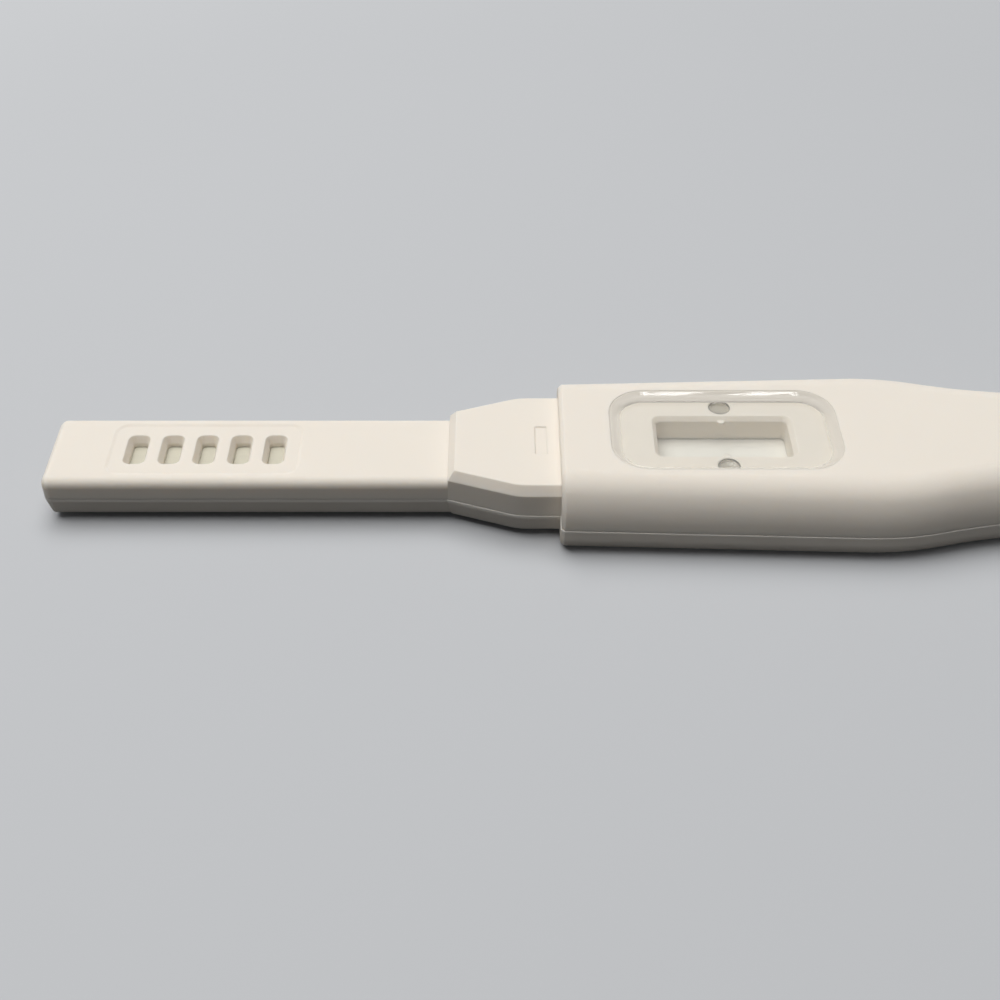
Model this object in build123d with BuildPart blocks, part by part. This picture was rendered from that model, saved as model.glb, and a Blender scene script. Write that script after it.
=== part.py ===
"""Midstream lateral flow test stick: two white moulded shells, a clear window lens and the test strip inside.

X runs along the stick from the sampling tip to the handle, Z is up from the table, Y is the width.
The origin is the middle of the underside. All sizes are in millimetres.
"""

import os
from math import acos, atan2, cos, floor, hypot, sin

from build123d import *

os.makedirs("parts", exist_ok=True)

# Lengths along the stick
overall_length = 132.0
tip_length = 41.4
shoulder_length = 7.1
neck_length = 11.46
widest_setback = 31.4
waist_share = 0.51
turn_share = 0.35

# Widths across the stick at the parting plane
tip_width = 10.5
neck_width = 15.4
body_width = 22.0
handle_width = 16.8
flare_rise = 1.05

# Heights above the table
parting_height = 3.05
front_underside = 0.95
tip_top = 5.4
neck_top = 6.55
body_top = 8.1

# Edges of the outer form
tip_corner = 1.0
tip_edge = 0.95
shoulder_bend = 6.0
neck_bevel_run = 0.7
neck_bevel_drop = 0.97
crown_radius = 5.8
crown_land = 0.3
crease_edge = 3.0
front_edge = 0.35
body_lower_edge = 2.0
front_draft_run = 0.4
front_draft_rise = 1.7
rim_proud = 0.08
rim_bevel = 0.06

# Walls and the tongue of the lower shell
wall = 1.1
tip_roof = 1.4
tip_floor = 1.25
body_floor = 1.0
tongue_gap = 0.08
tongue_thickness = 0.6
tongue_height = 0.8

# Slotted panel on the tip
panel_length = 19.3
panel_width = 7.5
panel_corner = 1.2
panel_depth = 0.1
panel_slope = 0.3
panel_setback = 16.2
slot_count = 5
slot_pitch = 3.58
slot_width = 1.6
slot_length = 3.9
slot_corner = 0.4
slot_flare = 0.36
slot_flare_depth = 0.8

# Shallow pocket on the neck that catches a cap
catch_gap = 1.35
catch_length = 1.2
catch_width = 4.4
catch_depth = 0.08

# Sunk window and its lens
window_setback = 16.9
recess_length = 23.5
recess_width = 12.75
recess_corner = 3.8
recess_depth = 1.2
recess_floor_thickness = 1.0
opening_length = 13.7
opening_width = 5.7
opening_corner = 0.5
opening_bevel = 0.45
skirt_wall = 0.8
skirt_clearance = 0.1
lug_diameter = 0.8
lug_height = 0.25
lens_gap = 0.05
lens_thickness = 0.45
lens_rim = 0.1
lens_slope = 1.05
peg_diameter = 2.2
peg_offset = 4.7
peg_length = 0.5
peg_clearance = 0.05

# Test strip
strip_setback = 2.4
strip_tail = 27.7
strip_width = 6.4
card_thickness = 0.25
membrane_thickness = 0.2
membrane_margin = 4.6
pad_overlap = 2.0
conjugate_thickness = 0.4
absorbent_thickness = 1.0
wick_thickness = 1.0
wick_gap = 0.4
wick_ramp_length = 12.0
wick_end_gap = 0.5
wick_headroom = 0.05

# Strip bed in the lower shell
bed_height = 3.6
bed_rib = 0.8
bed_pitch = 6.0
rail_gap = 0.15
rail_thickness = 0.8
rail_lip = 0.5
press_rib = 0.9
press_gap = 0.05

# Locating pins of the lower shell and sockets of the upper shell
pin_diameter = 2.0
pin_gap = 0.05
pin_lead = 0.25
pin_length = 2.0
socket_wall = 0.8
socket_gap = 0.15
front_pin_setback = 3.0
front_pin_offset = 5.4
middle_pin_gap = 3.0
middle_pin_offset = 5.6
rear_pin_gap = 3.2
rear_pin_offset = 4.0
tail_pin_setback = 8.0

# How far off a position may be when points are picked by it
slack = 0.01

# Positions that follow from the sizes above
front_width = body_width - 2 * flare_rise
x_tip = -overall_length / 2
x_end = overall_length / 2
x_step = x_tip + tip_length
x_shoulder = x_step + shoulder_length
x_body = x_step + neck_length
x_widest = x_body + widest_setback
x_round = x_end - handle_width / 2
x_waist = x_widest + waist_share * (x_round - x_widest)
x_panel = x_tip + panel_setback
x_window = x_body + window_setback
x_strip = x_body + strip_setback
x_strip_end = x_end - strip_tail
x_membrane = x_window - opening_length / 2 - membrane_margin
x_membrane_end = x_window + opening_length / 2 + membrane_margin
x_wick_end = x_membrane - wick_gap
x_ramp = x_strip - wick_ramp_length
tongue_outer = wall + tongue_gap
tongue_inner = tongue_outer + tongue_thickness
x_wick = x_tip + tongue_inner + wick_end_gap
tongue_top = parting_height + tongue_height
overlap = 3 * wall
z_panel = tip_top - panel_depth
z_tip_ceiling = tip_top - tip_roof
z_recess = body_top - recess_depth
z_well = z_recess - recess_floor_thickness
z_tip_floor = front_underside + tip_floor
z_neck_floor = front_underside + body_floor
z_card = bed_height + card_thickness
z_membrane = z_card + membrane_thickness
z_conjugate = z_card + conjugate_thickness
z_wick = z_tip_ceiling - wick_headroom
z_wick_bed = z_wick - wick_thickness
z_skirt = z_membrane + skirt_clearance
z_ceiling = body_top - wall
z_rail = bed_height + rail_lip
z_socket = max(tongue_top, z_rail) + socket_gap


def box(x0, x1, y0, y1, z0, z1, mode=Mode.ADD):
    """A block given by its six faces."""
    with Locations(((x0 + x1) / 2, (y0 + y1) / 2, (z0 + z1) / 2)):
        Box(x1 - x0, y1 - y0, z1 - z0, mode=mode)


def tip_plan(grow):
    """Outline of the tip, rounded at its free corners and running on into the neck."""
    length = tip_length + overlap
    with BuildSketch() as outline:
        with Locations((x_tip + length / 2, 0)):
            Rectangle(length, tip_width)
        fillet(outline.vertices().group_by(Axis.X)[0], tip_corner)
        if grow:
            offset(amount=grow, kind=Kind.INTERSECTION)
    return outline.sketch


def neck_plan(grow):
    """Outline of the neck: shoulders that widen from the tip, then straight on into the body."""
    with BuildSketch() as outline:
        with BuildLine() as half:
            Polyline(
                (x_step, 0),
                (x_step, tip_width / 2),
                (x_shoulder, neck_width / 2),
                (x_body + overlap, neck_width / 2),
                (x_body + overlap, 0),
            )
            mirror(about=Plane.XZ)
        make_face()
        elbows = outline.vertices().filter_by_position(Axis.X, x_shoulder - slack, x_shoulder + slack)
        fillet(elbows, shoulder_bend)
        if grow:
            offset(amount=grow, kind=Kind.INTERSECTION)
    return outline.sketch


def body_plan(grow):
    """Outline of the body and handle: a straight flare, an S-curve of two arcs and a round end."""
    front = (x_body, front_width / 2)
    widest = (x_widest, body_width / 2)
    waist = (x_waist, handle_width / 2)
    turn_run = turn_share * (x_waist - x_widest)
    turn_drop = turn_share * (body_width - handle_width) / 2
    turn = (x_widest + turn_run, body_width / 2 - turn_drop)

    # The flare meets the first arc of the S-curve at a tangent
    bend = (turn_run**2 + turn_drop**2) / (2 * turn_drop)
    centre_y = body_width / 2 - bend
    rise = front_width / 2 - centre_y
    angle = atan2(rise, x_body - x_widest) - acos(bend / hypot(rise, x_body - x_widest))
    tangent_point = (x_widest + bend * cos(angle), centre_y + bend * sin(angle))
    with BuildSketch() as outline:
        with BuildLine() as half:
            Line((x_body, 0), front)
            Line(front, tangent_point)
            ThreePointArc(tangent_point, widest, turn)
            TangentArc(waist, turn, tangent=(-1, 0))
            Line(waist, (x_round, handle_width / 2))
            TangentArc((x_round, handle_width / 2), (x_end, 0), tangent=(1, 0))
            mirror(about=Plane.XZ)
        make_face()
        if grow:
            offset(amount=grow, kind=Kind.INTERSECTION)
    return outline.sketch


def whole_plan(grow, x0=x_tip - wall, x1=x_end + wall):
    """Outline of the whole stick, grown or shrunk, kept only between two X positions."""
    with BuildSketch() as outline:
        add(tip_plan(0))
        add(neck_plan(0))
        add(body_plan(0))
        if grow:
            offset(amount=grow, kind=Kind.INTERSECTION)
        with Locations(((x0 + x1) / 2, 0)):
            Rectangle(x1 - x0, 2 * body_width, mode=Mode.INTERSECT)
    return outline.sketch


def raise_plan(plan, z0, z1):
    """Extrude an outline between two heights."""
    with Locations((0, 0, z0)):
        add(extrude(plan, amount=z1 - z0, mode=Mode.PRIVATE))


def upper_tip():
    """Outer form of the tip above the parting plane, its top edge rounded."""
    with BuildPart() as form:
        raise_plan(tip_plan(0), parting_height, tip_top)
        fillet(form.faces().sort_by(Axis.Z)[-1].edges(), tip_edge)
    return form.part


def upper_neck():
    """Outer form of the neck above the parting plane, its top edges bevelled."""
    with BuildPart() as form:
        raise_plan(neck_plan(0), parting_height, neck_top)
        top = form.faces().sort_by(Axis.Z)[-1]
        chamfer(top.edges(), length=neck_bevel_run, length2=neck_bevel_drop, reference=top)
    return form.part


def crowned_body(inset):
    """Body above the parting plane: sides curve in as an arc that the flat top cuts off at a crease."""
    height = crown_land + crown_radius - inset
    with BuildPart() as form:
        raise_plan(body_plan(-inset), parting_height, parting_height + height)
        top = form.faces().sort_by(Axis.Z)[-1]
        fillet(top.edges().sort_by(Axis.X)[1:], crown_radius - inset)
        split(bisect_by=Plane.XY.offset(body_top - inset), keep=Keep.BOTTOM)
    return form.part


def upper_body():
    """Outer form of the body, its crease rounded and the rim of its front face bevelled."""
    with BuildPart() as form:
        add(crowned_body(0))
        fillet(form.faces().sort_by(Axis.Z)[-1].edges().sort_by(Axis.X)[1:], crease_edge)
        front = form.faces().sort_by(Axis.X)[0]
        chamfer(front.edges().sort_by(Axis.Z)[1:], front_edge)
    return form.part


def lower_front(plan, rim=0):
    """Outer form of the tip or the neck below the parting plane: sides lean in, a proud rim is bevelled."""
    with BuildPart() as form:
        raise_plan(plan, front_underside, parting_height)
        bottom = form.faces().sort_by(Axis.Z)[0]
        chamfer(bottom.edges(), length=front_draft_run, length2=front_draft_rise, reference=bottom)
        if rim:
            chamfer(form.faces().sort_by(Axis.Z)[-1].edges(), rim)
    return form.part


def lower_body():
    """Outer form of the body below the parting plane, rounded under all along except at its front."""
    with BuildPart() as form:
        raise_plan(body_plan(rim_proud), 0, parting_height)
        fillet(form.faces().sort_by(Axis.Z)[0].edges().sort_by(Axis.X)[1:], body_lower_edge)
        front = form.faces().sort_by(Axis.X)[0]
        chamfer(front.edges().sort_by(Axis.Z)[:-1], front_edge)
        chamfer(form.faces().sort_by(Axis.Z)[-1].edges(), rim_bevel)
    return form.part


def wick_underside(x):
    """Height of the underside of the wick: level in the tip, a straight ramp, level on the strip."""
    share = (x - x_ramp) / wick_ramp_length
    return z_wick_bed + (z_conjugate - z_wick_bed) * min(max(share, 0), 1)


x_middle_pin = x_window + recess_length / 2 + middle_pin_gap
x_rear_pin = x_strip_end + rear_pin_gap
pins = [
    (x_body + front_pin_setback, front_pin_offset),
    (x_body + front_pin_setback, -front_pin_offset),
    (x_middle_pin, middle_pin_offset),
    (x_middle_pin, -middle_pin_offset),
    (x_rear_pin, rear_pin_offset),
    (x_rear_pin, -rear_pin_offset),
    (x_end - tail_pin_setback, 0),
]
pegs = [(x_window, peg_offset), (x_window, -peg_offset)]
z_pin = z_socket + pin_length


def upper_cavity():
    """Hollow of the upper shell: tip, neck and body, each a wall inside the outer form."""
    with BuildPart() as hollow:
        raise_plan(whole_plan(-wall, x_tip, x_step + wall), parting_height, z_tip_ceiling)
        raise_plan(whole_plan(-wall, x_step + wall, x_body + wall), parting_height, neck_top - wall)
        add(crowned_body(wall))
    return hollow.part


def flared_cutter(length, width, corner, flare, depth):
    """Cutter with its mouth at height zero: a rounded rectangle, wider by the flare at its mouth."""
    with BuildPart() as cutter:
        for z, grow in ((-depth, 0), (0, flare)):
            with BuildSketch(Plane.XY.offset(z)):
                RectangleRounded(length + 2 * grow, width + 2 * grow, corner + grow)
        loft(ruled=True)
    return cutter.part


def through_cutter(length, width, corner, flare, flare_depth, depth):
    """Cutter with its mouth at height zero: flared at the mouth, then straight on down to its depth."""
    with BuildPart() as cutter:
        add(flared_cutter(length, width, corner, flare, flare_depth))
        extrude(cutter.faces().sort_by(Axis.Z)[0], amount=depth - flare_depth)
    return cutter.part


def cylinders(places, diameter, z0, z1, mode=Mode.ADD):
    """Upright cylinders between two heights."""
    with Locations([(x, y, z0) for x, y in places]):
        Cylinder(diameter / 2, z1 - z0, align=(Align.CENTER, Align.CENTER, Align.MIN), mode=mode)


with BuildPart() as upper_shell:
    add(upper_tip())
    add(upper_neck())
    add(upper_body())
    add(upper_cavity(), mode=Mode.SUBTRACT)

    # Well under the sunk window, skirt round the opening and bars that press on the strip
    with BuildSketch(Plane.XY.offset(z_well)):
        with Locations((x_window, 0)):
            RectangleRounded(recess_length + 2 * wall, recess_width + 2 * wall, recess_corner + wall)
    extrude(amount=z_ceiling - z_well + wall / 2)
    half_skirt_x = opening_length / 2 + skirt_wall
    half_skirt_y = opening_width / 2 + skirt_wall
    box(x_window - half_skirt_x, x_window + half_skirt_x, -half_skirt_y, half_skirt_y, z_skirt, z_recess)
    wick_top = z_conjugate + wick_thickness
    pad_top = z_membrane + absorbent_thickness
    x_bar = (x_strip + x_wick_end - press_rib) / 2
    x_far_bar = x_membrane_end - pad_overlap / 2
    half_bar = strip_width / 2
    box(x_bar, x_bar + press_rib, -half_bar, half_bar, wick_top + press_gap, z_ceiling + wall / 2)
    box(x_far_bar, x_far_bar + press_rib, -half_bar, half_bar, pad_top + press_gap, z_ceiling + wall / 2)

    # Sockets for the pins
    cylinders(pins, pin_diameter + 2 * socket_wall, z_socket, z_ceiling + wall / 2)
    cylinders(pins, pin_diameter + 2 * pin_gap, z_socket, z_pin + pin_lead, Mode.SUBTRACT)

    # Sunk window with its opening, the lugs at the opening's edge and the two peg holes
    with BuildSketch(Plane.XY.offset(z_recess)):
        with Locations((x_window, 0)):
            RectangleRounded(recess_length, recess_width, recess_corner)
    extrude(amount=recess_depth, mode=Mode.SUBTRACT)
    bevel = opening_bevel
    opening = through_cutter(opening_length, opening_width, opening_corner, bevel, bevel, z_recess - z_skirt)
    with Locations((x_window, 0, z_recess)):
        add(opening, mode=Mode.SUBTRACT)
    lugs = [(x_window, opening_width / 2), (x_window, -opening_width / 2)]
    z_lug = z_recess - opening_bevel
    cylinders(lugs, lug_diameter, z_lug - lug_height, z_lug + lug_height / 2)
    z_peg = z_recess - peg_length
    cylinders(pegs, peg_diameter + 2 * peg_clearance, z_peg - peg_clearance, z_recess, Mode.SUBTRACT)

    # Shallow panel with its row of slots
    panel = flared_cutter(panel_length, panel_width, panel_corner, panel_slope, panel_depth)
    with Locations((x_panel, 0, tip_top)):
        add(panel, mode=Mode.SUBTRACT)
    slot = through_cutter(slot_width, slot_length, slot_corner, slot_flare, slot_flare_depth, tip_roof)
    with Locations((x_panel, 0, z_panel)):
        with GridLocations(slot_pitch, 0, slot_count, 1):
            add(slot, mode=Mode.SUBTRACT)

    # Pocket that catches a cap
    x_catch = x_body - catch_gap
    half = catch_width / 2
    box(x_catch - catch_length, x_catch, -half, half, neck_top - catch_depth, neck_top, Mode.SUBTRACT)

with BuildPart() as lower_shell:
    add(lower_front(tip_plan(0)))
    add(lower_front(neck_plan(rim_proud), rim_bevel))
    add(lower_body())

    # Tongue that stands inside the upper shell, and the hollow
    raise_plan(whole_plan(-tongue_outer), parting_height, tongue_top)
    z_clear = tongue_top + wall
    for x0, x1, z0 in (
        (x_tip, x_step + tongue_inner, z_tip_floor),
        (x_step + tongue_inner, x_body + tongue_inner, z_neck_floor),
        (x_body + tongue_inner, x_end, body_floor),
    ):
        with Locations((0, 0, z0)):
            add(
                extrude(whole_plan(-tongue_inner, x0, x1), amount=z_clear - z0, mode=Mode.PRIVATE),
                mode=Mode.SUBTRACT,
            )

    # Rails and cross ribs that carry the strip
    half_inner = strip_width / 2 + rail_gap
    half_outer = half_inner + rail_thickness
    box(x_strip, x_strip_end, half_inner, half_outer, body_floor, z_rail)
    box(x_strip, x_strip_end, -half_outer, -half_inner, body_floor, z_rail)
    x_stop = x_strip_end + rail_gap
    box(x_stop, x_stop + rail_thickness, -half_outer, half_outer, body_floor, z_rail)
    for index in range(floor((x_strip_end - x_strip - bed_rib) / bed_pitch) + 1):
        x = x_strip + index * bed_pitch
        box(x, x + bed_rib, -half_outer, half_outer, body_floor, bed_height)

    # Cross ribs that hold the wick up to the roof of the tip and along its ramp
    half = strip_width / 2
    for index in range(floor((x_body - x_wick) / bed_pitch)):
        x = x_wick + (index + 0.5) * bed_pitch
        box(x, x + bed_rib, -half, half, front_underside + body_floor / 2, wick_underside(x))

    # Pins
    cylinders(pins, pin_diameter, body_floor, z_pin)

with BuildPart() as window_lens:
    length = recess_length - 2 * lens_gap
    width = recess_width - 2 * lens_gap
    corner = recess_corner - lens_gap
    with BuildSketch(Plane.XY.offset(z_recess)):
        with Locations((x_window, 0)):
            RectangleRounded(length, width, corner)
    extrude(amount=recess_depth)
    for z, inset in ((z_recess + lens_thickness, lens_rim + lens_slope), (body_top, lens_rim)):
        with BuildSketch(Plane.XY.offset(z)):
            with Locations((x_window, 0)):
                RectangleRounded(length - 2 * inset, width - 2 * inset, corner - inset)
    loft(ruled=True, mode=Mode.SUBTRACT)
    cylinders(pegs, peg_diameter, z_peg, z_recess + lens_thickness / 2)

with BuildPart() as sample_wick:
    with BuildSketch(Plane.XZ):
        with BuildLine():
            Polyline(
                (x_wick, z_wick_bed),
                (x_ramp, z_wick_bed),
                (x_strip, z_conjugate),
                (x_wick_end, z_conjugate),
                (x_wick_end, z_conjugate + wick_thickness),
                (x_strip, z_conjugate + wick_thickness),
                (x_ramp, z_wick),
                (x_wick, z_wick),
                close=True,
            )
        make_face()
    extrude(amount=strip_width / 2, both=True)

with BuildPart() as conjugate_pad:
    x_conjugate_end = x_membrane + pad_overlap
    with BuildSketch(Plane.XZ):
        with BuildLine():
            Polyline(
                (x_strip, z_card),
                (x_membrane, z_card),
                (x_membrane, z_membrane),
                (x_conjugate_end, z_membrane),
                (x_conjugate_end, z_membrane + conjugate_thickness),
                (x_membrane, z_membrane + conjugate_thickness),
                (x_membrane - membrane_thickness, z_conjugate),
                (x_strip, z_conjugate),
                close=True,
            )
        make_face()
    extrude(amount=strip_width / 2, both=True)

with BuildPart() as membrane:
    box(x_membrane, x_membrane_end, -strip_width / 2, strip_width / 2, z_card, z_membrane)

with BuildPart() as absorbent_pad:
    x_pad = x_membrane_end - pad_overlap
    with BuildSketch(Plane.XZ):
        with BuildLine():
            Polyline(
                (x_pad, z_membrane),
                (x_membrane_end, z_membrane),
                (x_membrane_end, z_card),
                (x_strip_end, z_card),
                (x_strip_end, z_card + absorbent_thickness),
                (x_membrane_end + membrane_thickness, z_card + absorbent_thickness),
                (x_membrane_end, z_membrane + absorbent_thickness),
                (x_pad, z_membrane + absorbent_thickness),
                close=True,
            )
        make_face()
    extrude(amount=strip_width / 2, both=True)

with BuildPart() as backing_card:
    box(x_strip, x_strip_end, -strip_width / 2, strip_width / 2, bed_height, z_card)

upper_shell.part.label = "upper_shell"
lower_shell.part.label = "lower_shell"
window_lens.part.label = "window_lens"
sample_wick.part.label = "sample_wick"
conjugate_pad.part.label = "conjugate_pad"
membrane.part.label = "membrane"
absorbent_pad.part.label = "absorbent_pad"
backing_card.part.label = "backing_card"

export_step(upper_shell.part, "parts/upper_shell.step")
export_step(lower_shell.part, "parts/lower_shell.step")
export_step(window_lens.part, "parts/window_lens.step")
export_step(sample_wick.part, "parts/sample_wick.step")
export_step(conjugate_pad.part, "parts/conjugate_pad.step")
export_step(membrane.part, "parts/membrane.step")
export_step(absorbent_pad.part, "parts/absorbent_pad.step")
export_step(backing_card.part, "parts/backing_card.step")
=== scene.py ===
"""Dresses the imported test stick: satin moulded shells, a clear window lens and the fibre strip inside.

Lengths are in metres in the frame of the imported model: X runs from the tip to the handle, Y across, Z up.
"""

from math import cos, pi, radians, sin

import bpy
import numpy as np
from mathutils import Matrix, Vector


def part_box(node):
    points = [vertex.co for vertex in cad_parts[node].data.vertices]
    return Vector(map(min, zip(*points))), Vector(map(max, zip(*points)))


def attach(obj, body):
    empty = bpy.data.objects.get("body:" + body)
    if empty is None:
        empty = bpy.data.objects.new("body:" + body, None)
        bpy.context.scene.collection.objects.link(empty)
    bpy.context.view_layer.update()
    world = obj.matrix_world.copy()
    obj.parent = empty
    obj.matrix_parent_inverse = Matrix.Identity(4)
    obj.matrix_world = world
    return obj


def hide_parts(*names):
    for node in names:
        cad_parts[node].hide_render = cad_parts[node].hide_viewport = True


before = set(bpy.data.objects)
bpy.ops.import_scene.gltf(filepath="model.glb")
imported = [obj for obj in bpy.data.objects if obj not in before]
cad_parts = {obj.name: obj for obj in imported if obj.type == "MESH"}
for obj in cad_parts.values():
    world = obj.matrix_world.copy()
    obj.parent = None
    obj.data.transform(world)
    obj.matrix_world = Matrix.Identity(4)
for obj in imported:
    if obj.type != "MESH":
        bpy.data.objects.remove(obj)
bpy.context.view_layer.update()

MM = 0.001

# Window lens: a clear dish whose floor slopes up to a thin rim
LENS_CORNER = 3.75 * MM
LENS_SEAT = 6.9 * MM
LENS_LIFT = 0.03 * MM
LENS_GROW = 0.04 * MM
LENS_FLOOR = 0.45 * MM
LENS_RIM = 0.1 * MM
LENS_ROUND = 0.04 * MM
LENS_SLOPE = 1.05 * MM
LENS_RISE = 0.75 * MM
LENS_HOLLOW = 0.17
SLOPE_RINGS = 14

# Pegs under the lens
PEG_OFFSET = 4.7 * MM
PEG_RADIUS = 1.1 * MM
PEG_ROUND = 0.12 * MM
PEG_EASE = 0.3
PEG_GAP = LENS_LIFT / 3
PEG_SIDES = 48

# Fibre layers of the strip
LAYER_MARGIN = 0.04 * MM
LAYER_STEP = 0.12 * MM
SECTION_SIDES = 96
SECTION_POWER = 8
END_STEPS = 4
END_THINNEST = 0.2
END_NARROWING = 0.1
WEAVE_ALONG = 0.31 * MM
WEAVE_ACROSS = 0.23 * MM
WEAVE_BEND = 0.9 * MM
WEAVE_SWAY = 3.0
WICK_RAMP = 12.0 * MM
WICK_SWELL = 0.085 * MM
WICK_RELIEF = 0.02 * MM
CONJUGATE_RELIEF = 0.03 * MM
MEMBRANE_SWELL = 0.08 * MM
MEMBRANE_BEND = 0.6 * MM
MEMBRANE_RELIEF = 0.004 * MM
ABSORBENT_RELIEF = 0.04 * MM

# Sharpest fold that new pieces still shade as smooth
SMOOTH_FOLD = radians(40)

# Edges of the mouldings: a little soft, and softer along the crown of the body
EDGE_SAMPLES = 8
EDGE_SOFTNESS = 0.18 * MM
CROWN_SOFTNESS = 1.6 * MM
CROWN_START = -12.4 * MM
CROWN_SIDE = 6.6 * MM
CROWN_FOOT = 4.0 * MM
CROWN_FADE = 0.6 * MM

# Moulded plastic, with grains in lumps per metre as in every finish
PLASTIC_IOR = 1.5
PLASTIC_SCATTER = 0.5
PLASTIC_REACH = (1.0, 0.92, 0.8)
PLASTIC_DEPTH = 0.8 * MM
PLASTIC_SHADE = 0.97
PLASTIC_ROUGHNESS = 0.46
PLASTIC_WANDER = 0.08
CLOUD_GRAIN = 70.0
PEEL_GRAIN = 900.0
PEEL_SHARE = 0.7
PEEL_DEPTH = 0.004 * MM
SPARK_GRAIN = 5200.0

# Felts, with the grains of their cross fibres and clumps as multiples of the main grain
FELT_SPECULAR = 0.2
FELT_SHEEN = 0.15
FELT_SHADE = 0.82
FELT_ROUGHNESS = 0.82
FELT_WANDER = 0.16
ALONG_STRETCH = (0.22, 1.0, 1.0)
ALONG_SHARE = 0.6
CROSS_STRETCH = (1.0, 0.3, 1.0)
CROSS_GRAIN = 1.7
CLUMP_GRAIN = 0.2
FIBRE_SHARE = 0.7
WICK_GRAIN = 2600.0
WICK_DEPTH = 0.06 * MM
CONJUGATE_GRAIN = 4200.0
CONJUGATE_DEPTH = 0.04 * MM
ABSORBENT_GRAIN = 2000.0
ABSORBENT_DEPTH = 0.05 * MM

# Porous sheets
SHEET_SPECULAR = 0.25
SHEET_SHADE = 0.95
SHEET_ROUGHNESS = 0.7
SHEET_WANDER = 0.2
PORE_GRAIN = 6500.0
PORE_SHARE = 0.5
PORE_DEPTH = 0.006 * MM
DRIFT_GRAIN = 120.0
DRIFT_STRETCH = (0.3, 1.0, 1.0)

# Clear plastic
CLEAR_IOR = 1.49
CLEAR_ROUGHNESS = 0.015
CLEAR_WANDER = 0.03
CLEAR_GRAIN = 260.0
# Pale matte band up the lens slope, lit as if flat: painted light and shade of the clear edge
PAINTED_SLOPE_SHARE = 0.9
PAINTED_SLOPE_POWER = 0.3
PAINTED_SLOPE_ROUGHNESS = 0.5
LIGHTING_RAYS = ("Is Shadow Ray", "Is Diffuse Ray")

# Linear colours of the finishes
WHITE_PLASTIC = (0.875, 0.81, 0.72)
COOL_PLASTIC = (0.86, 0.80, 0.715)
WICK_FIBRE = (0.64, 0.615, 0.51)
CONJUGATE_FIBRE = (0.80, 0.72, 0.70)
MEMBRANE_WHITE = (0.84, 0.82, 0.76)
ABSORBENT_WHITE = (0.82, 0.80, 0.75)
CARD_WHITE = (0.83, 0.83, 0.81)
CLEAR_TINT = (0.985, 0.985, 0.975)
# Painted shade: tint of the pegs standing in for the shade in their holes
PEG_SHADE_TINT = (0.42, 0.40, 0.35)
SHADOW_TINT = (0.94, 0.94, 0.93)
# Colour of the painted light and shade band up the lens slope
PAINTED_SLOPE_LIGHT = (0.77, 0.71, 0.615)

# Floor and backdrop
FLOOR_HALF = 3.0
FLOOR_NEAR = 0.10
FLOOR_FAR = 0.45
FLOOR_COLOUR = (0.57, 0.58, 0.595)
FLOOR_BOUNCE = (0.06, 0.06, 0.06)
FLOOR_ROUGHNESS = 0.8
FLOOR_GRAIN = 14.0
FLOOR_MOTTLE = 0.02
SKY_COLOUR = (0.80, 0.81, 0.82)
SKY_LIGHT = 0.14
NO_LIGHT = (0.0, 0.0, 0.0)
SEEING_RAYS = ("Is Camera Ray", "Is Glossy Ray", "Is Transmission Ray")

# Lamps
KEY_PLACE = (-0.15, 0.12, 0.60)
KEY_WIDTH = 0.70
KEY_LENGTH = 0.50
KEY_POWER = 4.4
STRIP_PLACES = ((0.076, -0.26, 0.60), (0.127, -0.26, 0.60))
STRIP_WIDTH = 0.023
STRIP_LENGTH = 0.06
STRIP_POWER = 0.05

# View of the photograph, with lens and sensor in millimetres as Blender takes them
CAMERA_PITCH = radians(42)
CAMERA_DISTANCE = 150.4 * MM
CAMERA_AIM = (-19.3 * MM, -3.0 * MM, 0.95 * MM)
CAMERA_LENS = 51.984
CAMERA_SENSOR = 36.0
CAMERA_CLIP = 5.0 * MM


class Field:
    """A shader socket that Python sums can use: each operator adds one Math node and gives its result."""

    def __init__(self, finish, socket):
        self.finish = finish
        self.socket = socket

    def maths(self, operation, *values):
        """The result of a Math node on values, which may be fields or numbers."""
        sockets = dict(enumerate(values))
        return self.finish.node("ShaderNodeMath", {"operation": operation}, sockets)

    def __add__(self, other):
        return self.maths("ADD", self, other)

    def __sub__(self, other):
        return self.maths("SUBTRACT", self, other)

    def __rsub__(self, other):
        return self.maths("SUBTRACT", other, self)

    def __mul__(self, other):
        return self.maths("MULTIPLY", self, other)

    __radd__ = __add__
    __rmul__ = __mul__


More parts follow.
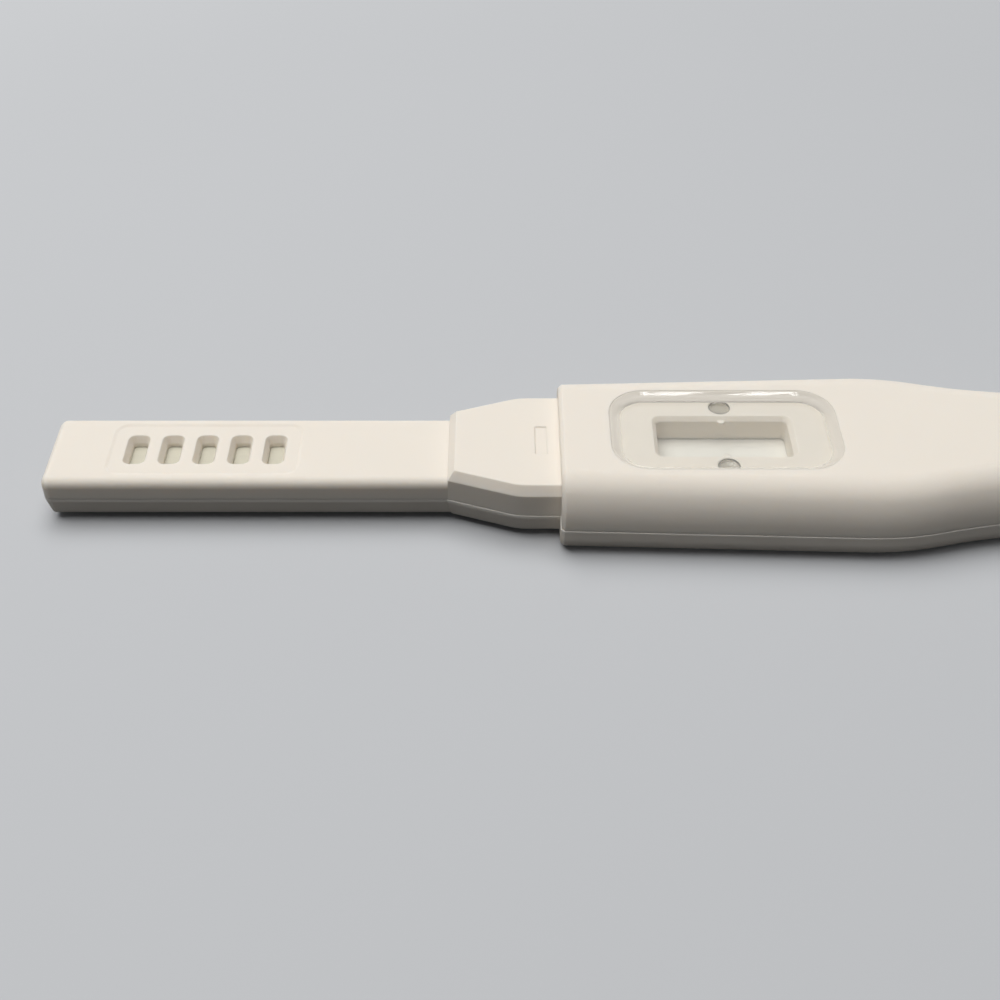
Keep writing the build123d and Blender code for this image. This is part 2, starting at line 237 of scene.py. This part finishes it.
class Finish:
    """The nodes of a material or the world, added one by one to the shader that it starts with."""

    def __init__(self, owner, constants, shader="Principled BSDF"):
        owner.use_nodes = True
        self.owner = owner
        self.tree = owner.node_tree
        self.shader = self.tree.nodes[shader]
        self.fill(self.shader, constants)

    def fill(self, node, sockets):
        """Sets each socket of a node to a value, or links it to a field."""
        for key, value in sockets.items():
            if isinstance(value, Field):
                self.tree.links.new(value.socket, node.inputs[key])
            else:
                node.inputs[key].default_value = value

    def node(self, kind, settings, sockets, output=0):
        """Adds a node, its settings first and then its sockets, and gives one of its outputs as a field."""
        node = self.tree.nodes.new(kind)
        for key, value in settings.items():
            setattr(node, key, value)
        self.fill(node, sockets)
        return Field(self, node.outputs[output])

    def place(self):
        """The Object coordinates of the surface."""
        return self.node("ShaderNodeTexCoord", {}, {}, "Object")

    def along(self, axis):
        """The Object coordinate along one axis."""
        return self.node("ShaderNodeSeparateXYZ", {}, {"Vector": self.place()}, axis)

    def distance(self):
        """Distance from the origin of Object coordinates."""
        return self.node("ShaderNodeVectorMath", {"operation": "LENGTH"}, {0: self.place()}, "Value")

    def noise(self, grain, detail=2.0, stretch=(1.0, 1.0, 1.0)):
        """Noise from 0 to 1 with about grain lumps in a metre, drawn out where stretch is below 1."""
        drawn = self.node("ShaderNodeMapping", {}, {"Vector": self.place(), "Scale": stretch})
        sockets = {"Vector": drawn, "Scale": grain, "Detail": detail}
        return self.node("ShaderNodeTexNoise", {}, sockets, "Fac")

    def step(self, value, low, high):
        """0 below low, 1 above high and a smooth step between."""
        sockets = {"Value": value, "From Min": low, "From Max": high}
        return self.node("ShaderNodeMapRange", {"interpolation_type": "SMOOTHSTEP"}, sockets)

    def ray(self, *kinds):
        """1 on a ray of any of the kinds, named as in the Light Path node, and 0 on any other."""
        share = 0.0
        for kind in kinds:
            flag = self.node("ShaderNodeLightPath", {}, {}, kind)
            share = flag.maths("MAXIMUM", flag, share)
        return share

    def blend(self, share, first, second):
        """A colour that goes from first to second with share, by the Mix node's colour sockets 6, 7 and 2."""
        settings = {"data_type": "RGBA", "clamp_factor": True}
        sockets = {0: share, 6: (*first, 1.0), 7: (*second, 1.0)}
        return self.node("ShaderNodeMix", settings, sockets, 2)

    def bump(self, height, depth, edge=None):
        """A normal tilted by a height field of the given depth, over edges rounded by the radius edge."""
        sockets = {"Height": height, "Distance": depth, "Strength": 1.0}
        if edge is not None:
            sockets["Normal"] = self.node("ShaderNodeBevel", {"samples": EDGE_SAMPLES}, {"Radius": edge})
        return self.node("ShaderNodeBump", {}, sockets)

    def mix(self, share, first, second):
        """A shader that goes from first to second with share."""
        return self.node("ShaderNodeMixShader", {}, {0: share, 1: first, 2: second})


def shade(colour, share):
    """A colour at a share of its strength."""
    return tuple(share * part for part in colour)


def between(share, first, second):
    """A share of the first field and the rest of the second."""
    return share * first + (1.0 - share) * second


def crown_region(finish):
    """1 along the crown of the body, which is behind its start, outside its side and above its foot."""
    across = finish.along("Y")
    behind = finish.step(finish.along("X"), CROWN_START, CROWN_START + CROWN_FADE)
    outside = finish.step(across.maths("ABSOLUTE", across), CROWN_SIDE, CROWN_SIDE + CROWN_FADE)
    above = finish.step(finish.along("Z"), CROWN_FOOT, CROWN_FOOT + CROWN_FADE)
    return behind * outside * above


def moulded_plastic(name, colour):
    """Satin moulded plastic with soft edges: faint clouding, a fine mould texture and uneven gloss."""
    constants = {
        "IOR": PLASTIC_IOR,
        "Subsurface Weight": PLASTIC_SCATTER,
        "Subsurface Radius": PLASTIC_REACH,
        "Subsurface Scale": PLASTIC_DEPTH,
    }
    finish = Finish(bpy.data.materials.new(name), constants)
    cloud = finish.noise(CLOUD_GRAIN, detail=3.0)
    peel = finish.noise(PEEL_GRAIN)
    spark = finish.noise(SPARK_GRAIN, detail=1.0)
    edge = EDGE_SOFTNESS + (CROWN_SOFTNESS - EDGE_SOFTNESS) * crown_region(finish)
    finish.fill(
        finish.shader,
        {
            "Base Color": finish.blend(cloud, shade(colour, PLASTIC_SHADE), colour),
            "Roughness": PLASTIC_ROUGHNESS + PLASTIC_WANDER * cloud + PLASTIC_WANDER * spark,
            "Normal": finish.bump(between(PEEL_SHARE, peel, spark), PEEL_DEPTH, edge),
        },
    )
    return finish.owner


def felt(name, colour, grain, depth):
    """Fibre sheet: fibres drawn out along the strip, crossed by finer ones, with soft clumps of tone."""
    constants = {"Specular IOR Level": FELT_SPECULAR, "Sheen Weight": FELT_SHEEN}
    finish = Finish(bpy.data.materials.new(name), constants)
    along = finish.noise(grain, detail=3.0, stretch=ALONG_STRETCH)
    across = finish.noise(CROSS_GRAIN * grain, stretch=CROSS_STRETCH)
    clump = finish.noise(CLUMP_GRAIN * grain)
    fibre = between(ALONG_SHARE, along, across)
    finish.fill(
        finish.shader,
        {
            "Base Color": finish.blend(between(FIBRE_SHARE, fibre, clump), shade(colour, FELT_SHADE), colour),
            "Roughness": FELT_ROUGHNESS + FELT_WANDER * fibre,
            "Normal": finish.bump(fibre, depth),
        },
    )
    return finish.owner


def porous_sheet(name, colour):
    """Matte porous sheet: fine pores and a slow drift of tone along its run."""
    finish = Finish(bpy.data.materials.new(name), {"Specular IOR Level": SHEET_SPECULAR})
    pores = finish.noise(PORE_GRAIN)
    drift = finish.noise(DRIFT_GRAIN, stretch=DRIFT_STRETCH)
    finish.fill(
        finish.shader,
        {
            "Base Color": finish.blend(between(PORE_SHARE, pores, drift), shade(colour, SHEET_SHADE), colour),
            "Roughness": SHEET_ROUGHNESS + SHEET_WANDER * pores,
            "Normal": finish.bump(pores, PORE_DEPTH),
        },
    )
    return finish.owner


def clear_plastic(name):
    """Clear glossy plastic that lamps shine through, barely clouded, with painted light and shade up its
    slope and painted shade in its pegs.

    Up the slope a pale matte band stands in for the light and shade bent through the clear edge; it grows
    with a low power of the height up the slope and is lit as if it lay flat.
    The pegs are tinted darker from just below the seat, as painted shade of the holes they sit in.
    """
    finish = Finish(bpy.data.materials.new(name), {"IOR": CLEAR_IOR, "Transmission Weight": 1.0})
    height = finish.along("Z")
    climb = (height - LENS_SEAT - LENS_FLOOR) * (1 / LENS_RISE)
    # Painted light and shade: a pale matte band up the slope stands in for light bent through the clear edge
    painted_slope = climb.maths("POWER", climb.maths("MAXIMUM", climb, 0.0), PAINTED_SLOPE_POWER)
    # Painted shade: the pegs darken below the seat in place of the shade in their holes
    peg_shade = (LENS_SEAT - height) * (1 / PEG_ROUND)
    finish.fill(
        finish.shader,
        {
            "Base Color": finish.blend(peg_shade, CLEAR_TINT, PEG_SHADE_TINT),
            "Roughness": CLEAR_ROUGHNESS + CLEAR_WANDER * finish.noise(CLEAR_GRAIN),
        },
    )
    clear = Field(finish, finish.shader.outputs[0])
    painted_slope_sockets = {
        "Base Color": (*PAINTED_SLOPE_LIGHT, 1.0),
        "Roughness": PAINTED_SLOPE_ROUGHNESS,
        "Coat Weight": 1.0,
        "Normal": finish.node("ShaderNodeCombineXYZ", {}, {"Z": 1.0}),
    }
    painted_slope_shader = finish.node("ShaderNodeBsdfPrincipled", {}, painted_slope_sockets)
    body = finish.mix(PAINTED_SLOPE_SHARE * painted_slope, clear, painted_slope_shader)
    open_way = finish.node("ShaderNodeBsdfTransparent", {}, {"Color": (*SHADOW_TINT, 1.0)})
    surface = finish.mix(finish.ray(*LIGHTING_RAYS), body, open_way)
    finish.fill(finish.tree.nodes["Material Output"], {"Surface": surface})
    return finish.owner


def floor_paint(name):
    """Pale matte paint that fades into the backdrop with distance.

    It is dark to the soft light that it would throw back on the stick.
    """
    constants = {"Roughness": FLOOR_ROUGHNESS, "Specular IOR Level": 0.0, "Emission Strength": 1.0}
    finish = Finish(bpy.data.materials.new(name), constants)
    seen = finish.ray(*SEEING_RAYS)
    fade = finish.step(finish.distance(), FLOOR_NEAR, FLOOR_FAR)
    mottle = 1.0 - FLOOR_MOTTLE + FLOOR_MOTTLE * finish.noise(FLOOR_GRAIN, detail=3.0)
    finish.fill(
        finish.shader,
        {
            "Base Color": finish.blend(seen * (1.0 - fade) * mottle, FLOOR_BOUNCE, FLOOR_COLOUR),
            "Emission Color": finish.blend(seen * fade, NO_LIGHT, SKY_COLOUR),
        },
    )
    return finish.owner


def backdrop(name):
    """A world that is pale where it is seen or mirrored and lights the stick only a little."""
    finish = Finish(bpy.data.worlds.new(name), {"Strength": 1.0}, "Background")
    seen = finish.ray(*SEEING_RAYS)
    finish.fill(finish.shader, {"Color": finish.blend(seen, shade(SKY_COLOUR, SKY_LIGHT), SKY_COLOUR)})
    return finish.owner


def add_object(name, data):
    """A new object of the scene, at the origin."""
    thing = bpy.data.objects.new(name, data)
    bpy.context.scene.collection.objects.link(thing)
    return thing


def closed_solid(rings):
    """Points, quads and triangles of a closed solid: quads from ring to ring and a fan at each end.

    rings has the shape (ring, point, 3), and point j of every ring lies on the same line along the solid.
    """
    count, around = rings.shape[:2]
    points = np.concatenate([rings.reshape(-1, 3), rings[[0, -1]].mean(axis=1)])
    ring, place = np.meshgrid(np.arange(count - 1) * around, np.arange(around), indexing="ij")
    after = (place + 1) % around
    quads = np.stack([ring + place, ring + after, ring + around + after, ring + around + place], axis=-1)
    edge = np.arange(around)
    turn = (edge + 1) % around
    last = (count - 1) * around
    middle = np.full(around, count * around)
    start = np.stack([turn, edge, middle], axis=-1)
    end = np.stack([last + edge, last + turn, middle + 1], axis=-1)
    return points, quads.reshape(-1, 4), np.concatenate([start, end])


def dress(name, solids, material, node):
    """One object made of closed solids, smooth but for its sharp edges, that stands for a CAD node."""
    faces = []
    first = 0
    for points, quads, triangles in solids:
        faces += (first + quads).tolist() + (first + triangles).tolist()
        first += len(points)
    mesh = bpy.data.meshes.new(name)
    mesh.from_pydata(np.concatenate([solid[0] for solid in solids]).tolist(), [], faces)
    mesh.polygons.foreach_set("use_smooth", np.ones(len(faces), bool))
    mesh.set_sharp_from_angle(angle=SMOOTH_FOLD)
    mesh.materials.append(material)
    piece = add_object(name, mesh)
    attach(piece, "root")
    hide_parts(node)


def raised(loops, height):
    """Flat loops, each lifted to its own height: (ring, point, 2) and (ring) give (ring, point, 3)."""
    heights = np.broadcast_to(height[:, None, None], (*loops.shape[:2], 1))
    return np.concatenate([loops, heights], axis=-1)


def rounded_loops(half_length, half_width, corner, arc_steps=16, side_steps=24):
    """Loops of rounded rectangles: corner centre plus turned radius, with straight sides between.

    half_length, half_width and corner hold one value for each ring, and the result has the shape
    (ring, point, 2).
    """
    turn = (np.arange(4)[:, None] + np.linspace(0, 1, arc_steps)) * pi / 2
    side = np.repeat([[1, 1], [-1, 1], [-1, -1], [1, -1]], arc_steps, axis=0)
    round_part = np.stack([np.cos(turn).ravel(), np.sin(turn).ravel()], axis=-1)
    reach = np.stack([half_length - corner, half_width - corner], axis=-1)
    corners = side * reach[:, None, :] + round_part * corner[:, None, None]
    whole = np.arange(4)[:, None] * arc_steps
    stops = np.concatenate([np.arange(arc_steps - 1), arc_steps - 1 + np.arange(side_steps) / side_steps])
    index = (whole + stops).ravel()
    low = np.floor(index).astype(int)
    share = (index - low)[:, None]
    high = (low + 1) % (4 * arc_steps)
    return corners[:, low] * (1 - share) + corners[:, high] * share


def lens_dish(low, high):
    """Clear dish: a flat floor, a slope to the rim, an upright outer wall and a flat underside.

    The slope's height goes with its run u as (1 - hollow) u + hollow u^2, so it grows a little steeper.
    Close loops beside the foot of the slope and on the underside keep the flats shaded flat. The dish is
    grown a little to meet the edge of its opening, and lifted a little off its seat.
    """
    run = np.linspace(0, 1, SLOPE_RINGS)
    climb = (1 - LENS_HOLLOW) * run + LENS_HOLLOW * run**2
    floor_top = LENS_SEAT + LENS_FLOOR
    under = LENS_SEAT + LENS_LIFT
    inset = np.concatenate(
        [
            [LENS_RIM + LENS_SLOPE + LENS_ROUND],
            LENS_RIM + LENS_SLOPE * (1 - run),
            [LENS_ROUND, 0, 0, LENS_ROUND, 3 * LENS_ROUND],
        ]
    )
    height = np.concatenate(
        [
            [floor_top],
            floor_top + LENS_RISE * climb,
            [high.z, high.z - LENS_ROUND, under + LENS_ROUND, under, under],
        ]
    )
    half_length = (high.x - low.x) / 2 + LENS_GROW - inset
    half_width = (high.y - low.y) / 2 + LENS_GROW - inset
    loops = rounded_loops(half_length, half_width, LENS_CORNER + LENS_GROW - inset)
    loops = loops + [(low.x + high.x) / 2, (low.y + high.y) / 2]
    return closed_solid(raised(loops, height)[::-1])


def peg(x, y, low, high):
    """Upright round peg with a softened lower end: a circle carried up a radius profile."""
    ease = PEG_EASE * PEG_ROUND
    radius = np.array([PEG_RADIUS - PEG_ROUND, PEG_RADIUS - ease, PEG_RADIUS, PEG_RADIUS])
    height = np.array([low, low + ease, low + PEG_ROUND, high])
    turn = np.linspace(0, 2 * pi, PEG_SIDES, endpoint=False)
    circle = np.stack([np.cos(turn), np.sin(turn)], axis=-1)
    return closed_solid(raised(circle * radius[:, None, None] + [x, y], height))


def fibre_layer(low, high, under, over, relief, swell=0.0):
    """A soft strip between two height lines: a squared-off oval section carried along X.

    under and over are (x, z) corner lists of the strip's lower and upper faces. The section is
    |y|^p + |z|^p = 1 with p the section power, scaled to the width and the local thickness, and it is
    thinner and narrower at both ends. relief presses a weave into the upper face, which is the product of
    two crossed waves, sin(x + sway sin y) and sin y, each term at its own pitch. swell lifts that face.
    """
    x = np.arange(low.x + LAYER_MARGIN, high.x - LAYER_MARGIN, LAYER_STEP)
    bottom = np.interp(x, *zip(*under)) + LAYER_MARGIN
    top = np.interp(x, *zip(*over)) - LAYER_MARGIN + swell
    ends = np.minimum(x - x[0], x[-1] - x) / (END_STEPS * LAYER_STEP)
    ease = np.sqrt(np.clip(1 - (1 - np.clip(ends, 0, 1)) ** 2, END_THINNEST, 1))[:, None]
    turn = np.linspace(0, 2 * pi, SECTION_SIDES, endpoint=False)
    across = np.sign(np.cos(turn)) * np.abs(np.cos(turn)) ** (2 / SECTION_POWER)
    upward = np.sign(np.sin(turn)) * np.abs(np.sin(turn)) ** (2 / SECTION_POWER)
    half = (high.y - low.y) / 2 - LAYER_MARGIN
    y = across * half * (1 - END_NARROWING + END_NARROWING * ease)
    z = (top + bottom)[:, None] / 2 + upward * ease * (top - bottom)[:, None] / 2
    wave = np.sin(x[:, None] / WEAVE_ALONG + WEAVE_SWAY * np.sin(y / WEAVE_BEND))
    press = 1 + wave * np.sin(y / WEAVE_ACROSS)
    z = z - relief * press * np.clip(upward, 0, 1) / 2
    return closed_solid(np.stack([np.broadcast_to(x[:, None], y.shape), y, z], axis=-1))


def lamp(name, place, width, length, power):
    """A rectangular soft lamp at place that faces the origin, its width along X."""
    data = bpy.data.lights.new(name, "AREA")
    data.shape = "RECTANGLE"
    data.size = width
    data.size_y = length
    data.energy = power
    light = add_object(name, data)
    light.location = place
    light.rotation_euler = (-Vector(place)).to_track_quat("-Z", "Y").to_euler()
    return light


# Shells and card keep their CAD shapes
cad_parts["upper_shell"].data.materials[0] = moulded_plastic("satin_white", WHITE_PLASTIC)
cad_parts["lower_shell"].data.materials[0] = moulded_plastic("satin_white_lower", COOL_PLASTIC)
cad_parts["backing_card"].data.materials[0] = porous_sheet("smooth_card", CARD_WHITE)

# Clear window lens with its two pegs
lens_low, lens_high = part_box("window_lens")
lens_middle = (lens_low.x + lens_high.x) / 2
peg_top = LENS_SEAT - PEG_GAP
dress(
    "clear_window",
    [
        lens_dish(lens_low, lens_high),
        peg(lens_middle, PEG_OFFSET, lens_low.z, peg_top),
        peg(lens_middle, -PEG_OFFSET, lens_low.z, peg_top),
    ],
    clear_plastic("clear_moulding"),
    "window_lens",
)

# Strip: heights of its faces follow from the boxes of the layers that lie on each other
card_low, card_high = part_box("backing_card")
membrane_low, membrane_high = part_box("membrane")
conjugate_low, conjugate_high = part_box("conjugate_pad")
absorbent_low, absorbent_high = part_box("absorbent_pad")
wick_low, wick_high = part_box("sample_wick")
membrane_depth = membrane_high.z - membrane_low.z
conjugate_top = conjugate_high.z - membrane_depth
wick_depth = wick_high.z - conjugate_top

wick_under = [
    (wick_low.x, wick_low.z),
    (card_low.x - WICK_RAMP, wick_low.z),
    (card_low.x, conjugate_top),
    (wick_high.x, conjugate_top),
]
wick_over = [(x, z + wick_depth) for x, z in wick_under]
dress(
    "wick_felt",
    [fibre_layer(wick_low, wick_high, wick_under, wick_over, WICK_RELIEF, WICK_SWELL)],
    felt("wick_fibre_felt", WICK_FIBRE, WICK_GRAIN, WICK_DEPTH),
    "sample_wick",
)

conjugate_under = [
    (card_low.x, card_high.z),
    (membrane_low.x - membrane_depth / 2, card_high.z),
    (membrane_low.x, membrane_high.z),
    (conjugate_high.x, membrane_high.z),
]
conjugate_over = [
    (card_low.x, conjugate_top),
    (membrane_low.x - membrane_depth, conjugate_top),
    (membrane_low.x, conjugate_high.z),
    (conjugate_high.x, conjugate_high.z),
]
dress(
    "conjugate_fleece",
    [fibre_layer(conjugate_low, conjugate_high, conjugate_under, conjugate_over, CONJUGATE_RELIEF)],
    felt("conjugate_fibre_fleece", CONJUGATE_FIBRE, CONJUGATE_GRAIN, CONJUGATE_DEPTH),
    "conjugate_pad",
)

membrane_under = [(membrane_low.x, membrane_low.z), (membrane_high.x, membrane_low.z)]
membrane_over = [
    (membrane_low.x, membrane_high.z),
    (conjugate_high.x, membrane_high.z),
    (conjugate_high.x + MEMBRANE_BEND, membrane_high.z + MEMBRANE_SWELL),
    (absorbent_low.x - MEMBRANE_BEND, membrane_high.z + MEMBRANE_SWELL),
    (absorbent_low.x, membrane_high.z),
    (membrane_high.x, membrane_high.z),
]
dress(
    "membrane_strip",
    [fibre_layer(membrane_low, membrane_high, membrane_under, membrane_over, MEMBRANE_RELIEF)],
    porous_sheet("membrane_porous", MEMBRANE_WHITE),
    "membrane",
)

absorbent_under = [
    (absorbent_low.x, membrane_high.z),
    (membrane_high.x, membrane_high.z),
    (membrane_high.x + membrane_depth / 2, card_high.z),
    (absorbent_high.x, card_high.z),
]
absorbent_over = [
    (absorbent_low.x, absorbent_high.z),
    (membrane_high.x, absorbent_high.z),
    (membrane_high.x + membrane_depth, absorbent_high.z - membrane_depth),
    (absorbent_high.x, absorbent_high.z - membrane_depth),
]
dress(
    "absorbent_felt",
    [fibre_layer(absorbent_low, absorbent_high, absorbent_under, absorbent_over, ABSORBENT_RELIEF)],
    felt("absorbent_paper_felt", ABSORBENT_WHITE, ABSORBENT_GRAIN, ABSORBENT_DEPTH),
    "absorbent_pad",
)

# Pale floor
floor_mesh = bpy.data.meshes.new("floor")
floor_corners = FLOOR_HALF * np.array([(-1, -1, 0), (1, -1, 0), (1, 1, 0), (-1, 1, 0)])
floor_mesh.from_pydata(floor_corners.tolist(), [], [(0, 1, 2, 3)])
floor_mesh.materials.append(floor_paint("pale_floor"))
floor = add_object("floor", floor_mesh)

# Soft studio light: a pale backdrop, a key lamp that isn't mirrored in the window and two strips that are
bpy.context.scene.world = backdrop("studio")
lamp("key", KEY_PLACE, KEY_WIDTH, KEY_LENGTH, KEY_POWER).visible_glossy = False
for place in STRIP_PLACES:
    lamp("strip", place, STRIP_WIDTH, STRIP_LENGTH, STRIP_POWER)

# Camera at the photograph's viewing angle
camera_data = bpy.data.cameras.new("camera")
camera_data.lens = CAMERA_LENS
camera_data.sensor_width = CAMERA_SENSOR
camera_data.clip_start = CAMERA_CLIP
camera = add_object("camera", camera_data)
camera.location = (
    CAMERA_AIM[0],
    CAMERA_AIM[1] - CAMERA_DISTANCE * cos(CAMERA_PITCH),
    CAMERA_AIM[2] + CAMERA_DISTANCE * sin(CAMERA_PITCH),
)
camera.rotation_euler = (pi / 2 - CAMERA_PITCH, 0.0, 0.0)
bpy.context.scene.camera = camera
bpy.context.scene.view_settings.view_transform = "Standard"
